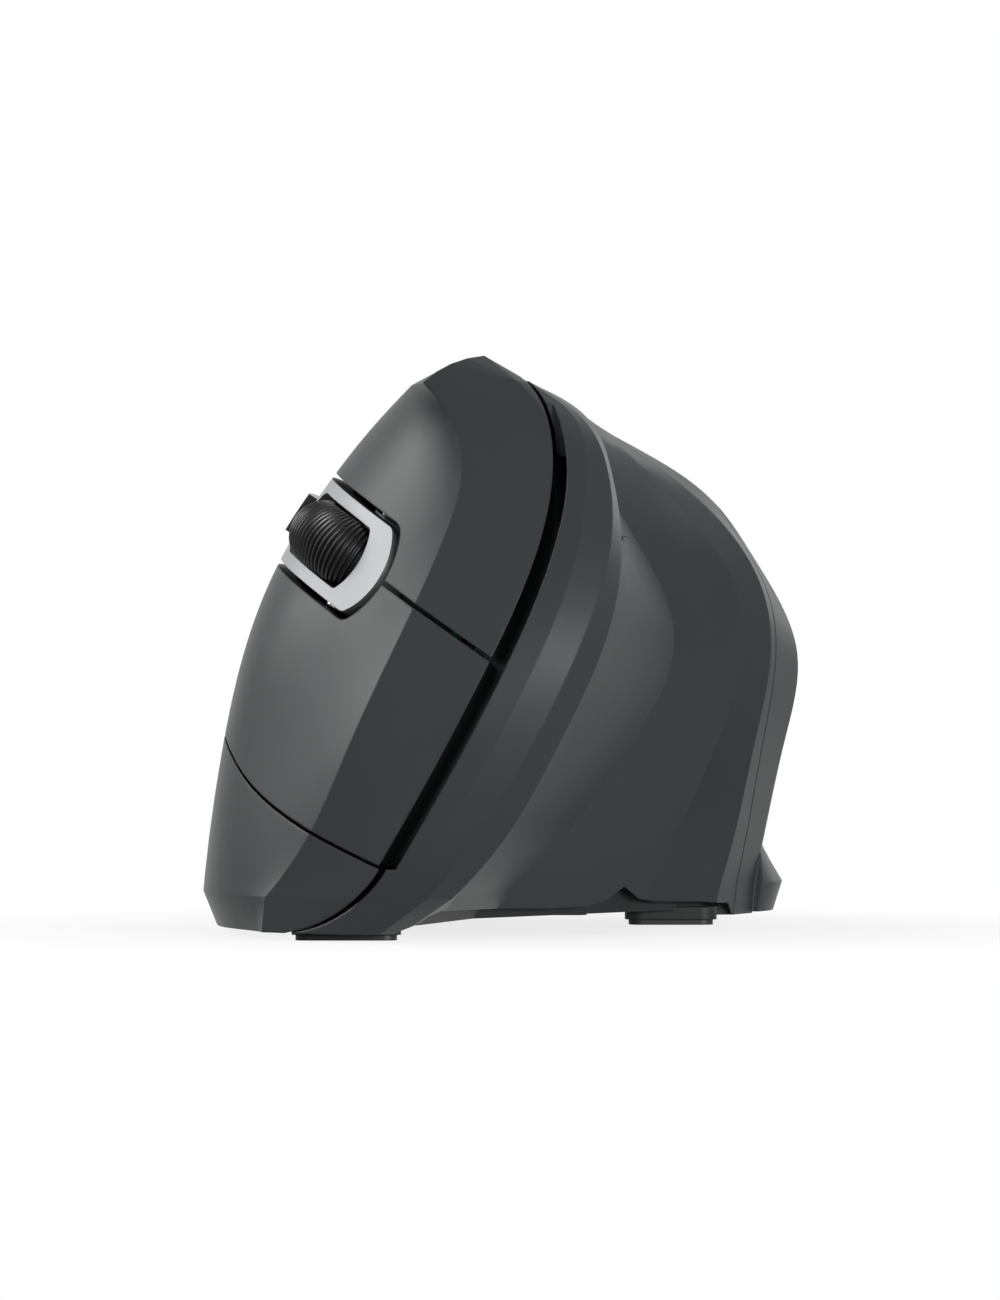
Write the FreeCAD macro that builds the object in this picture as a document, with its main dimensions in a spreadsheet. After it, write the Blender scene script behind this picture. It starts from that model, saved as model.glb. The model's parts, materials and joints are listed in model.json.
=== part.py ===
# Right-handed upright mouse: faceted moulded casing, two sprung main buttons,
# ribbed scroll wheel on a rocking cradle, thumb buttons, and all that it holds inside.
# Frame: +Z up, the nose faces -Y, the finger side is -X and the thumb side +X.
# The origin lies on the table, under the middle of the mouse. The shapes are drawn from
# an axis beside it, and middle_x and middle_y bring each finished sub-part over it.
import FreeCAD
import Part
import math
import os
import re

V = FreeCAD.Vector

# Driving sizes in millimetres, and degrees where the name says so.
SIZES = [
    # Casing
    ("middle_x", 0.95),
    ("middle_y", 0.23),
    ("wall", 2.2),
    ("root_depth", 0.8),
    ("seam_gap", 0.45),
    ("button_gap", 0.6),
    ("palm_seam_y", 21.0),
    ("button_rear_y", 9.0),
    ("base_bottom", 1.9),
    ("base_thickness", 2.2),
    ("fit_gap", 0.15),
    ("screw_radius", 1.1),
    ("screw_head_radius", 2.0),
    ("screw_head_height", 1.2),
    ("screw_length", 9.0),
    ("boss_radius", 3.0),
    ("boss_height", 12.0),
    ("boss_web", 12.0),
    ("flange_out", 4.5),
    ("channel_gap", 1.0),
    ("channel_floor", 1.2),
    ("channel_rear_y", -39.0),
    ("tongue_front_y", -43.5),
    ("tongue_low_z", 60.5),
    ("tongue_slant", 0.07),
    ("tongue_overlap", 6.0),
    ("lip_height", 3.6),
    ("lip_thickness", 1.2),
    # Slanted deck that carries the wheel and the main switches
    ("slope_degrees", 57.1),
    ("skew_degrees", 3.1),
    ("wheel_x", -17.4),
    ("wheel_y", -25.5),
    ("wheel_z", 47.9),
    ("deck_level", -14.4),
    ("board_thickness", 1.6),
    ("deck_thickness", 2.0),
    ("rib_thickness", 2.0),
    ("front_rib_y", -37.0),
    ("rear_rib_y", 8.0),
    # Scroll wheel
    ("tyre_radius", 10.6),
    ("tyre_width", 8.4),
    ("tyre_crown", 2.3),
    ("hub_radius", 7.2),
    ("hub_width", 7.6),
    ("hub_rim", 1.2),
    ("hub_web", 1.8),
    ("hub_boss_radius", 2.6),
    ("rib_count", 84),
    ("tyre_rib", 0.42),
    ("rib_depth", 0.5),
    ("axle_radius", 1.2),
    ("running_gap", 0.05),
    ("wheel_side_gap", 0.3),
    # Wheel surround and resolution button
    ("surround_width", 12.4),
    ("surround_front", -15.9),
    ("rear_leg_q", 25.0),
    ("surround_bulge", 2.9),
    ("surround_corner", 1.4),
    ("wheel_slot_front", -11.3),
    ("wheel_slot_rear", 11.4),
    ("slot_front_bulge", 1.7),
    ("slot_rear_bulge", 4.8),
    ("slot_corner", 1.1),
    ("dpi_width", 5.6),
    ("dpi_front", 13.4),
    ("dpi_rear", 23.0),
    ("dpi_proud", 1.5),
    ("stem_size", 2.0),
    # Cradle
    ("cradle_plate", 1.2),
    ("cradle_side", 5.2),
    ("cradle_pivot_q", 15.5),
    ("cradle_pivot_r", -8.9),
    ("cradle_pin_radius", 1.0),
    ("ear_thickness", 2.0),
    # Micro switches
    ("switch_length", 12.8),
    ("switch_width", 5.8),
    ("switch_height", 6.5),
    ("plunger_length", 2.8),
    ("plunger_width", 1.2),
    ("plunger_rise", 0.8),
    ("plunger_root", 3.0),
    ("plunger_offset", 2.0),
    ("press_gap", 0.1),
    ("main_switch_p", 13.6),
    ("main_switch_q", -7.4),
    ("middle_switch_p", 10.4),
    ("middle_switch_q", 6.5),
    # Main button pivots
    ("pivot_q", 32.6),
    ("pivot_r", -1.8),
    ("pivot_pin_radius", 1.2),
    ("pivot_pin_half", 11.9),
    ("sleeve_radius", 2.5),
    # Small push switches
    ("tact_size", 6.0),
    ("tact_height", 3.2),
    ("tact_plunger_radius", 1.6),
    ("tact_plunger_rise", 0.7),
    # Thumb buttons
    ("side_board_x", 5.2),
    ("side_board_thickness", 1.2),
    ("side_button_low", 51.2),
    ("side_button_high", 56.6),
    ("forward_front_y", -36.5),
    ("forward_rear_y", -26.4),
    ("back_front_y", -25.6),
    ("back_rear_y", -15.5),
    ("side_proud", 0.6),
    ("side_gap", 0.35),
    # Bottom of the mouse
    ("main_board_z", 7.4),
    ("battery_x", 1.0),
    ("battery_z", 12.6),
    ("battery_radius", 7.25),
    ("battery_front_y", -4.0),
    ("battery_length", 49.2),
    ("battery_cap_radius", 2.7),
    ("battery_cap_length", 1.3),
    ("door_left_x", -6.7),
    ("door_right_x", 8.7),
    ("door_hinge_y", 2.6),
    ("door_rear_y", 47.0),
    ("door_thickness", 2.0),
    ("door_pin_radius", 0.7),
    ("receiver_x", -17.6),
    ("receiver_y", 23.5),
    ("receiver_width", 14.4),
    ("receiver_length", 18.6),
    ("receiver_height", 6.2),
    ("glide_thickness", 0.7),
    ("foot_corner", 2.1),
    ("sensor_x", -17.0),
    ("sensor_y", -12.0),
    ("power_x", -17.0),
    ("power_y", 1.0),
]

doc = FreeCAD.newDocument("upright_mouse")
sheet = doc.addObject("Spreadsheet::Sheet", "sizes")
for row, (alias, value) in enumerate(SIZES, start=1):
    sheet.set("A%d" % row, alias)
    sheet.set("B%d" % row, str(value))
    sheet.setAlias("B%d" % row, alias)
doc.recompute()

NODES = []


def size(alias):
    """Value of one driving size."""
    return float(sheet.get(alias))


def tied(text):
    """Turn a formula in size names into one that reads the sheet."""
    return re.sub(r"[a-z][a-z_]+", r"sizes.\g<0>", text)


def bind(item, prop, text):
    item.setExpression(prop, tied(text))


def put(item, start, rotation=None):
    """Place an object; each coordinate is a formula in size names."""
    item.Placement = FreeCAD.Placement(V(), rotation or FreeCAD.Rotation())
    for letter, text in zip("xyz", start):
        bind(item, "Placement.Base." + letter, text)


def block(name, start, lengths):
    item = doc.addObject("Part::Box", name)
    for prop, text in zip(("Length", "Width", "Height"), lengths):
        bind(item, prop, text)
    put(item, start)
    return item


AXES = {
    "X": FreeCAD.Rotation(V(0, 1, 0), 90),
    "Y": FreeCAD.Rotation(V(1, 0, 0), -90),
    "Z": FreeCAD.Rotation(),
}


def rod(name, axis, start, radius, length):
    item = doc.addObject("Part::Cylinder", name)
    bind(item, "Radius", radius)
    bind(item, "Height", length)
    put(item, start, AXES[axis])
    return item


def joined(name, items):
    item = doc.addObject("Part::MultiFuse", name)
    item.Shapes = items
    item.Refine = True
    return item


def trimmed(name, base, tools):
    item = doc.addObject("Part::Cut", name)
    item.Base = base
    item.Tool = tools[0] if len(tools) == 1 else joined(name + "_tools", tools)
    return item


def solid(name, shape):
    item = doc.addObject("Part::Feature", name)
    item.Shape = shape
    return item


def node(item, label, slanted=False):
    """Register a finished sub-part; slanted ones were drawn on the deck."""
    if item.ExpressionEngine:
        holder = doc.addObject("Part::Compound", item.Name + "_placed")
        holder.Links = [item]
        item = holder
    item.Label = label
    if slanted:
        item.Placement = deck_place().multiply(item.Placement)
    middle = FreeCAD.Placement(V(-size("middle_x"), -size("middle_y"), 0.0), FreeCAD.Rotation())
    item.Placement = middle.multiply(item.Placement)
    NODES.append(item)
    return item


def deck_place():
    """Deck frame: origin at the wheel's centre, X up the slope, Z out of the finger face."""
    slope = FreeCAD.Rotation(V(0, 1, 0), -size("slope_degrees"))
    turn = slope.multiply(FreeCAD.Rotation(V(0, 0, 1), -size("skew_degrees")))
    return FreeCAD.Placement(V(size("wheel_x"), size("wheel_y"), size("wheel_z")), turn)


def on_deck(shape):
    return shape.transformed(deck_place().toMatrix())


def cuboid(x0, x1, y0, y1, z0, z1):
    return Part.makeBox(x1 - x0, y1 - y0, z1 - z0, V(x0, y0, z0))


# The casing's lines plan. Each guide is a crease or swell that climbs from the base to
# the top, as (x, y) at the heights in LEVELS. The guides run round the mouse from the
# nose along the thumb side, the heel and the finger side back to the nose.
LEVELS = [1.1, 5.5, 12.0, 24.0, 37.0, 50.0, 60.0, 66.5, 70.5]
# An inner skin sinks under the roof but keeps its height where the walls lean outwards.
SINK = [0.0, 0.0, 0.0, 0.25, 0.5, 0.75, 1.0, 1.0, 1.0]
GUIDES = [
    ("nose_edge", [(-20.0, -53.2), (-17.5, -54.8), (-12.6, -57.2), (-5.8, -58.8), (0.9, -58.0),
                   (6.0, -54.0), (7.3, -49.0), (5.4, -44.8), (2.2, -42.0)]),
    ("rim_one", [(-17.4, -53.6), (-12.8, -55.6), (-8.2, -58.2), (-1.2, -59.8), (5.3, -59.0),
                 (9.8, -54.8), (10.7, -49.2), (8.8, -44.0), (3.2, -40.6)]),
    ("rim_two", [(-15.0, -52.4), (-9.2, -54.4), (-4.0, -57.0), (3.6, -58.6), (9.9, -57.8),
                 (13.8, -53.4), (13.3, -47.4), (9.7, -42.0), (3.8, -38.6)]),
    ("rim_edge", [(-12.4, -49.0), (-6.0, -51.6), (-0.2, -54.0), (6.9, -55.4), (12.9, -54.4),
                  (15.2, -50.2), (13.8, -44.0), (10.3, -39.0), (3.6, -36.4)]),
    ("hollow", [(-8.6, -43.0), (-5.6, -43.5), (-1.2, -43.5), (4.4, -42.5), (9.6, -41.0),
                (12.2, -38.0), (12.7, -36.0), (10.7, -34.5), (3.9, -33.4)]),
    ("scoop_one", [(-2.0, -20.0), (1.5, -17.0), (8.0, -12.0), (17.0, -4.0), (22.9, 2.0),
                   (18.4, -3.0), (13.3, -16.0), (10.9, -28.0), (4.0, -30.4)]),
    ("scoop_two", [(18.6, 5.0), (20.2, 6.5), (23.4, 9.0), (28.8, 11.5), (32.5, 13.0),
                   (28.6, 9.0), (19.2, -3.0), (11.2, -22.0), (4.2, -27.0)]),
    ("scoop_three", [(28.4, 12.5), (29.4, 13.0), (31.3, 14.2), (34.0, 16.2), (36.3, 17.5),
                     (32.4, 14.0), (22.0, 3.5), (11.4, -14.5), (4.3, -22.5)]),
    ("flank", [(34.0, 26.0), (34.4, 26.3), (35.7, 27.0), (38.4, 28.0), (40.1, 28.0),
               (33.6, 23.5), (24.1, 13.0), (11.6, -4.5), (4.4, -16.5)]),
    ("palm", [(33.2, 40.0), (33.6, 40.2), (34.8, 40.3), (36.6, 39.6), (36.9, 38.0),
              (30.8, 32.0), (22.1, 19.8), (11.3, 2.5), (4.3, -12.0)]),
    ("heel_thumb", [(26.0, 53.0), (26.2, 53.0), (26.8, 52.0), (27.2, 49.6), (26.0, 44.6),
                    (21.0, 36.5), (15.4, 24.0), (9.5, 7.6), (3.4, -9.0)]),
    ("heel", [(8.0, 59.0), (8.0, 58.6), (8.0, 57.2), (7.4, 53.8), (6.2, 47.6),
              (4.0, 38.2), (2.2, 24.8), (1.2, 8.8), (0.8, -7.0)]),
    ("heel_finger", [(-14.0, 55.5), (-14.0, 55.0), (-13.9, 53.4), (-13.0, 49.2), (-12.0, 42.0),
                     (-10.5, 32.0), (-9.0, 19.5), (-6.5, 5.6), (-4.2, -9.8)]),
    ("side", [(-29.0, 39.0), (-30.0, 39.0), (-29.8, 37.6), (-28.0, 33.4), (-24.4, 27.0),
              (-19.5, 19.0), (-14.8, 9.4), (-11.0, -1.2), (-8.2, -15.0)]),
    ("horizon", [(-36.6, -8.0), (-38.3, -8.0), (-37.7, -8.0), (-36.0, -8.0), (-33.0, -8.0),
                 (-27.6, -8.0), (-21.0, -10.0), (-15.5, -14.5), (-11.2, -24.0)]),
    ("shoulder", [(-33.4, -33.0), (-35.0, -33.0), (-33.6, -33.0), (-30.6, -32.0), (-27.0, -31.0),
                  (-21.4, -30.0), (-15.4, -29.5), (-12.3, -29.5), (-10.7, -30.5)]),
    ("crease", [(-30.0, -44.4), (-29.6, -43.9), (-24.8, -47.0), (-19.2, -49.3), (-13.2, -49.3),
                (-7.3, -46.4), (-4.8, -42.6), (-6.6, -39.2), (-9.8, -37.4)]),
]
# The rim's two middle creases are too shallow to show on the inside of the wall.
OUTSIDE_ONLY = ("rim_one", "rim_two")
# From the flank round the heel to the finger crease the skin is one smooth surface.
SMOOTH = ("flank", "crease")
# The ridge on top, from the peak at the nose to its tail.
PEAK = (-2.0, -37.0, 73.9)
TAIL = (1.4, -24.0, 72.1)
CROWN_SWELL = 0.75
CROWN_STRIPS = 4


def inset(ring, depth):
    """Move a closed plan outline inwards by a depth, corner by corner."""
    moved = []
    for here, (x, y) in enumerate(ring):
        before = ring[here - 1]
        after = ring[(here + 1) % len(ring)]
        span_in = math.hypot(x - before[0], y - before[1])
        span_out = math.hypot(after[0] - x, after[1] - y)
        across_x = (before[1] - y) / span_in + (y - after[1]) / span_out
        across_y = (x - before[0]) / span_in + (after[0] - x) / span_out
        reach = 2.0 * depth / (across_x ** 2 + across_y ** 2)
        moved.append((x + across_x * reach, y + across_y * reach))
    return moved


def spline(points, knots):
    curve = Part.BSplineCurve()
    curve.interpolate(Points=points, Parameters=knots)
    return curve


def ring_points(level, depth):
    """Plan outline at one level as named points, moved in by a depth."""
    names = [name for name, _ in GUIDES if depth <= 0 or name not in OUTSIDE_ONLY]
    places = dict(GUIDES)
    ring = [places[name][level] for name in names]
    return names, inset(ring, depth) if depth else ring


def outline_edges(names, points):
    """One smooth edge round the heel and straight edges round the nose and scoop."""
    first, last = names.index(SMOOTH[0]), names.index(SMOOTH[1])
    knots = [float(step) for step in range(first, last + 1)]
    edges = [spline(points[first:last + 1], knots).toShape()]
    for here in list(range(last, len(names))) + list(range(first)):
        edges.append(Part.makeLine(points[here], points[(here + 1) % len(names)]))
    return edges


def hull(depth, ridge=False, drop=None):
    """The casing's body with its skin moved in by a depth; a negative depth swells it."""
    drop = max(depth, 0.0) if drop is None else drop
    rings = []
    for level, height in enumerate(LEVELS):
        names, ring = ring_points(level, depth)
        rings.append([V(x, y, height - drop * SINK[level]) for x, y in ring])
    count = len(names)
    first, last = names.index(SMOOTH[0]), names.index(SMOOTH[1])
    straight = list(range(last, count)) + list(range(first))
    heights = [ring[0].z for ring in rings[1:]]
    guides = [spline([ring[here] for ring in rings[1:]], heights) for here in range(count)]
    faces = []
    for here in straight:
        after = (here + 1) % count
        faces.append(Part.makeRuledSurface(guides[here].toShape(), guides[after].toShape()))
    knots = [float(step) for step in range(first, last + 1)]
    columns = [guide.getPoles() for guide in guides[first:last + 1]]
    rows = [spline(list(row), knots) for row in zip(*columns)]
    skin = Part.BSplineSurface()
    skin.buildFromPolesMultsKnots(
        [row.getPoles() for row in rows],
        guides[0].getMultiplicities(), rows[0].getMultiplicities(),
        guides[0].getKnots(), rows[0].getKnots(),
        False, False, guides[0].Degree, rows[0].Degree)
    faces.append(skin.toShape())
    bottom = outline_edges(names, rings[0])
    skirt = outline_edges(names, rings[1])
    top = outline_edges(names, rings[-1])
    faces += [Part.makeRuledSurface(low, high) for low, high in zip(bottom, skirt)]
    if drop:
        foot = outline_edges(names, [point - V(0, 0, drop) for point in rings[0]])
        faces += [Part.makeRuledSurface(low, high) for low, high in zip(foot, bottom)]
        bottom = foot
    faces.append(Part.Face(Part.Wire(bottom)))
    if ridge:
        faces += ridge_faces(names, rings[-1], top[0])
    else:
        faces.append(Part.Face(Part.Wire(top)))
    shell = Part.makeShell(faces)
    shell.sewShape()
    body = Part.Solid(shell)
    if body.Volume < 0:
        body.reverse()
    return body


def triangle(one, two, three):
    return Part.Face(Part.makePolygon([one, two, three, one]))


def ridge_faces(names, ring, smooth_edge):
    """The crown: facets on the thumb side, and on the finger side strips that swell to the ridge."""
    peak, tail = V(*PEAK), V(*TAIL)
    middle = names.index("scoop_two")
    first, last = names.index(SMOOTH[0]), names.index(SMOOTH[1])
    knots = [float(step) for step in range(first, last + 1)]
    rows = [ring[first:last + 1]]
    edges = [smooth_edge]
    for step in range(1, CROWN_STRIPS + 1):
        share = step / CROWN_STRIPS
        row = []
        for here in range(first, last + 1):
            along = (here - first) / (last - first)
            goal = tail + (peak - tail) * along
            swell = CROWN_SWELL * 4.0 * share * (1.0 - share) * along
            row.append(ring[here] + (goal - ring[here]) * share + V(-0.4, 0.0, 0.9) * swell)
        rows.append(row)
        edges.append(spline(row, knots).toShape() if step < CROWN_STRIPS else Part.makeLine(tail, peak))
    faces = [Part.makeRuledSurface(low, high) for low, high in zip(edges, edges[1:])]
    for low, high in zip(rows, rows[1:]):
        faces.append(triangle(low[-1], ring[0], high[-1]))
        faces.append(triangle(ring[first - 1], low[0], high[0]))
    for here in range(middle):
        faces.append(triangle(ring[here], ring[here + 1], peak))
    faces.append(triangle(ring[middle], tail, peak))
    for here in range(middle, first - 1):
        faces.append(triangle(ring[here], ring[here + 1], tail))
    return faces


def curtain(points, front, rear):
    """Prism over a closed outline in the front view, from one depth to another."""
    face = Part.Face(Part.makePolygon([V(x, front, z) for x, z in points + points[:1]]))
    return face.extrude(V(0, rear - front, 0))


def smooth_run(points, steps=4):
    """Points along the spline through a few chosen points of the front view."""
    knots = [float(step) for step in range(len(points))]
    curve = spline([V(x, 0, z) for x, z in points], knots)
    count = steps * (len(points) - 1)
    path = [curve.value(knots[-1] * step / count) for step in range(count + 1)]
    return [(point.x, point.z) for point in path]


# Seams as they run in the front view, as (x, z) from the top down.
GROOVE_BUTTON_SIDE = [(2.6, 71.6), (5.9, 66.0), (6.6, 59.0), (5.2, 50.8), (1.5, 41.0),
                      (-4.0, 29.8), (-9.2, 20.0), (-14.9, 10.0)]
GROOVE_RIM_SIDE = [(3.0, 71.9), (6.9, 66.9), (8.4, 59.0), (7.1, 50.6), (3.7, 41.0),
                   (-2.0, 29.0), (-7.6, 18.6), (-13.0, 9.3)]
LOWER_SEAM = [(-40.5, 35.5), (-35.7, 25.7), (-31.5, 19.4), (-24.6, 14.4), (-15.1, 9.8)]
CHIN_SEAM = [(-14.6, 9.3), (-16.4, 6.8), (-18.8, 4.6), (-21.2, 3.0), (-23.6, 1.9), (-27.5, 0.9)]
REACH = 90.0
# What is cut away under the scoop: its raised lower edge and the small peaked notch.
LOWER_EDGE = [(-14.4, 0.5), (-12.6, 1.4), (-10.2, 2.3), (-8.8, 3.3), (-7.4, 3.8), (-4.0, 3.5),
              (0.0, 3.2), (6.5, 2.9), (11.4, 3.0), (14.0, 3.7), (16.4, 5.4), (18.3, 3.7),
              (20.4, 3.3), (26.7, 3.1), (30.4, 2.8), (31.0, 1.2), (31.5, 0.5), (-14.4, 0.5)]


def shifted(points, dx, dz):
    return [(x + dx, z + dz) for x, z in points]


def tongue(left, right, gap):
    """On top the rim reaches behind the groove, along a seam that slants to the finger side."""
    low, front = size("tongue_low_z"), size("tongue_front_y")
    edge = [(left[0][0] - 1.0, REACH)] + [point for point in left if point[1] > low]
    back = [point for point in right if point[1] > low] + [(right[0][0], REACH)]
    outline = shifted(edge, gap, 0) + shifted(sorted(back, key=lambda point: point[1]),
                                              size("tongue_overlap"), 0)
    face = Part.Face(Part.makePolygon([V(x, front, z) for x, z in outline + outline[:1]]))
    return face.extrude(V(-size("tongue_slant") * REACH, REACH, 0))


def zones():
    """The three regions of space that split the casing into its mouldings."""
    gap = size("seam_gap")
    rear = size("button_rear_y")
    palm_y = size("palm_seam_y")
    groove_left = smooth_run(GROOVE_BUTTON_SIDE)
    groove_right = smooth_run(GROOVE_RIM_SIDE)
    lower = smooth_run(LOWER_SEAM)
    chin = smooth_run(CHIN_SEAM)
    buttons = curtain(
        [(-REACH, REACH), (groove_left[0][0] - 1.0, REACH)] + groove_left
        + lower[::-1] + [(-REACH, lower[0][1])],
        -REACH, rear)
    jaw = curtain(
        [(-REACH, lower[0][1] - gap)] + shifted(lower, 0, -gap)
        + shifted(chin, -gap, 0) + [(chin[-1][0], -REACH), (-REACH, -REACH)],
        -REACH, rear + 2 * gap)
    rim = curtain(
        [(REACH, REACH), (groove_right[0][0] - 0.6, REACH)] + groove_right
        + shifted(chin, gap, 0) + [(chin[-1][0] + gap, -REACH), (REACH, -REACH)],
        -REACH, REACH)
    seam = [(REACH, palm_y), (17.0, palm_y - 1.9), (8.2, rear + gap), (-REACH, rear + gap)]
    back = Part.Face(Part.makePolygon(
        [V(x, y, -REACH) for x, y in seam + [(-REACH, REACH), (REACH, REACH), seam[0]]]))
    back = back.extrude(V(0, 0, 2 * REACH))
    front = Part.Face(Part.makePolygon(
        [V(x, y - gap, -REACH) for x, y in seam + [(-REACH, -REACH), (REACH, -REACH), seam[0]]]))
    front = front.extrude(V(0, 0, 2 * REACH))
    buttons = buttons.cut(tongue(groove_left, groove_right, 0.0))
    rim = rim.fuse(tongue(groove_left, groove_right, gap))
    return buttons, jaw.fuse(back), rim.common(front)


def slot_prism(half, front, rear, bulge, corner, rear_bulge=0.0):
    """Deck-frame prism along the wheel's plane whose front, and rear, bows outwards."""
    low = -8.0
    left_front, right_front = V(-half, front + bulge, low), V(half, front + bulge, low)
    left_rear, right_rear = V(-half, rear - rear_bulge, low), V(half, rear - rear_bulge, low)
    edges = [Part.Arc(left_front, V(0, front, low), right_front).toShape()]
    edges.append(Part.makeLine(right_front, right_rear))
    if rear_bulge:
        edges.append(Part.Arc(right_rear, V(0, rear, low), left_rear).toShape())
    else:
        edges.append(Part.makeLine(right_rear, left_rear))
    edges.append(Part.makeLine(left_rear, left_front))
    prism = Part.Face(Part.Wire(edges)).extrude(V(0, 0, 50.0))
    corners = [edge for edge in prism.Edges
               if edge.BoundBox.ZLength > 1.0 and abs(edge.BoundBox.YMax - front - bulge) < 0.01]
    return on_deck(prism.makeFillet(corner, corners))


def heel_flange():
    """The foot of the palm moulding flares out round the heel to carry the hand's edge."""
    names = [name for name, _ in GUIDES]
    reach = {"flank": 0.25, "palm": 1.0, "heel_thumb": 0.9, "heel": 0.35,
             "heel_finger": 0.2, "side": 0.05}
    wires = []
    for level, height, share in ((2, 11.0, -0.15), (1, 5.2, 1.0), (0, 1.3, 0.8)):
        ring = [dict(GUIDES)[name][level] for name in names]
        unit = inset(ring, -1.0)
        points = []
        for name, part in reach.items():
            here = names.index(name)
            out = size("flange_out") * share * (part if share > 0 else 1.0)
            x = ring[here][0] + (unit[here][0] - ring[here][0]) * out
            y = ring[here][1] + (unit[here][1] - ring[here][1]) * out
            points.append(V(x, y, height))
        knots = [float(step) for step in range(len(points))]
        inner = V(2.0, 30.0, height)
        edges = [spline(points, knots).toShape()]
        edges.append(Part.makeLine(points[-1], inner))
        edges.append(Part.makeLine(inner, points[0]))
        wires.append(Part.Wire(edges))
    return Part.makeLoft(wires, True, True)


def boss(x, y, side_x, side_y):
    """Screw post standing over the base plate, with a web to the nearest wall."""
    low = size("base_bottom") + size("base_thickness")
    post = Part.makeCylinder(size("boss_radius"), size("boss_height"), V(x, y, low))
    half = size("rib_thickness") / 2
    reach = size("boss_web")
    web = cuboid(x - (reach if side_x < 0 else half), x + (reach if side_x > 0 else half),
                 y - (reach if side_y < 0 else half), y + (reach if side_y > 0 else half),
                 low + size("lip_height") + 0.4, low + size("boss_height"))
    return post.fuse(web)


def pilot(x, y):
    low = size("base_bottom") + size("base_thickness")
    return Part.makeCylinder(size("screw_radius"), size("screw_length"), V(x, y, low - 1.0))


# Each screw as (x, y, and the side of its nearest wall in x and y).
SCREWS = {
    "thumb": [(-15.2, -46.7, 1, 0), (22.4, 14.6, 0, -1)],
    "palm": [(25.2, 44.4, 1, 0), (-16.2, 45.6, 0, 1), (-31.0, -14.0, -1, 0)],
}


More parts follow.
